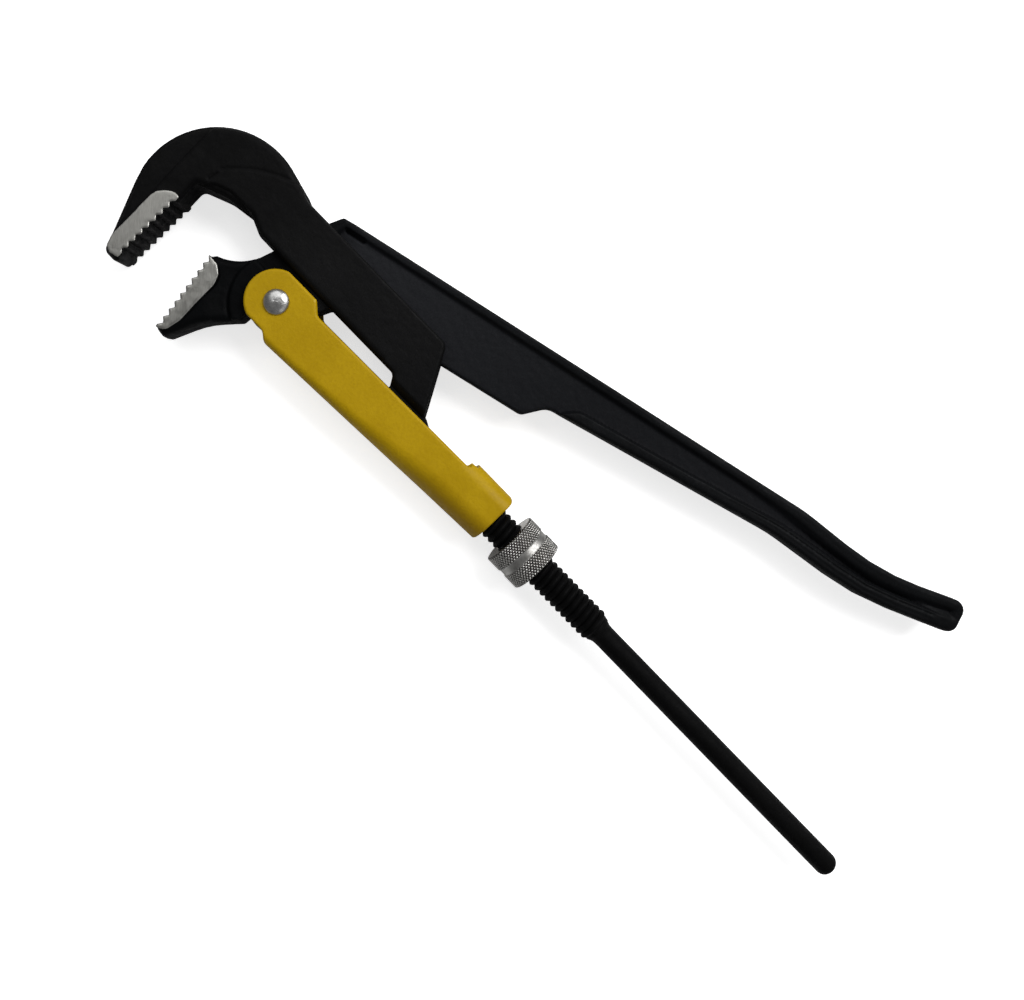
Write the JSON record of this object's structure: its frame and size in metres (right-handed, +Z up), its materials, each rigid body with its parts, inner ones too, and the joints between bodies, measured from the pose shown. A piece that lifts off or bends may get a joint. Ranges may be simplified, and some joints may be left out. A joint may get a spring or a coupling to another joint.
{
  "type": "corner pipe wrench",
  "caption": "Right-angle corner pipe wrench: toothed hook on a threaded leg, sliding sleeve with a pivoting lower jaw and long handle, and a knurled adjusting nut.",
  "frame": {"origin": "in the middle of the jaws' mouth, half way through the wrench's thickness, where the axis of a gripped pipe passes", "axes": "+X along the threaded leg away from the hook, +Y from the leg towards the handle, +Z up from the side the wrench lies on"},
  "size_m": [0.3288, 0.1287, 0.021],
  "materials": {
    "black_forging": "semi-matte black coating on a forging, teeth and jaw sides ground bare",
    "handle_forging": "semi-matte blue-black coating on a forging, teeth and jaw sides ground bare",
    "yellow_coating": "smooth satin mustard-yellow coating",
    "knurled_steel": "plated steel with a diamond knurl",
    "bright_steel": "bright steel, peened dome"
  },
  "bodies": {
    "frame": {"upper_jaw": "black_forging"},
    "slide": {"sleeve": "yellow_coating", "rivet": "bright_steel"},
    "handle": {"lower_jaw": "handle_forging"},
    "nut": {"adjusting_nut": "knurled_steel"}
  },
  "joints": [
    {"name": "jaw_adjust", "type": "slide", "parent": "frame", "child": "slide", "axis": [1, 0, 0], "range_m": [-0.0175, 0.025]},
    {"name": "handle_pivot", "type": "hinge", "parent": "slide", "child": "handle", "pos_m": [0.036, 0.016, 0], "axis": [0, 0, 1], "range_deg": [-10, 5]},
    {"name": "nut_spin", "type": "hinge", "parent": "slide", "child": "nut", "pos_m": [0.1518, 0.0164, 0], "axis": [1, 0, 0], "range_deg": [-2521, 3601]}
  ],
  "couplings": [
    {"joint": "nut_spin", "follows": "jaw_adjust", "rad_per_m": 2513.3}
  ]
}
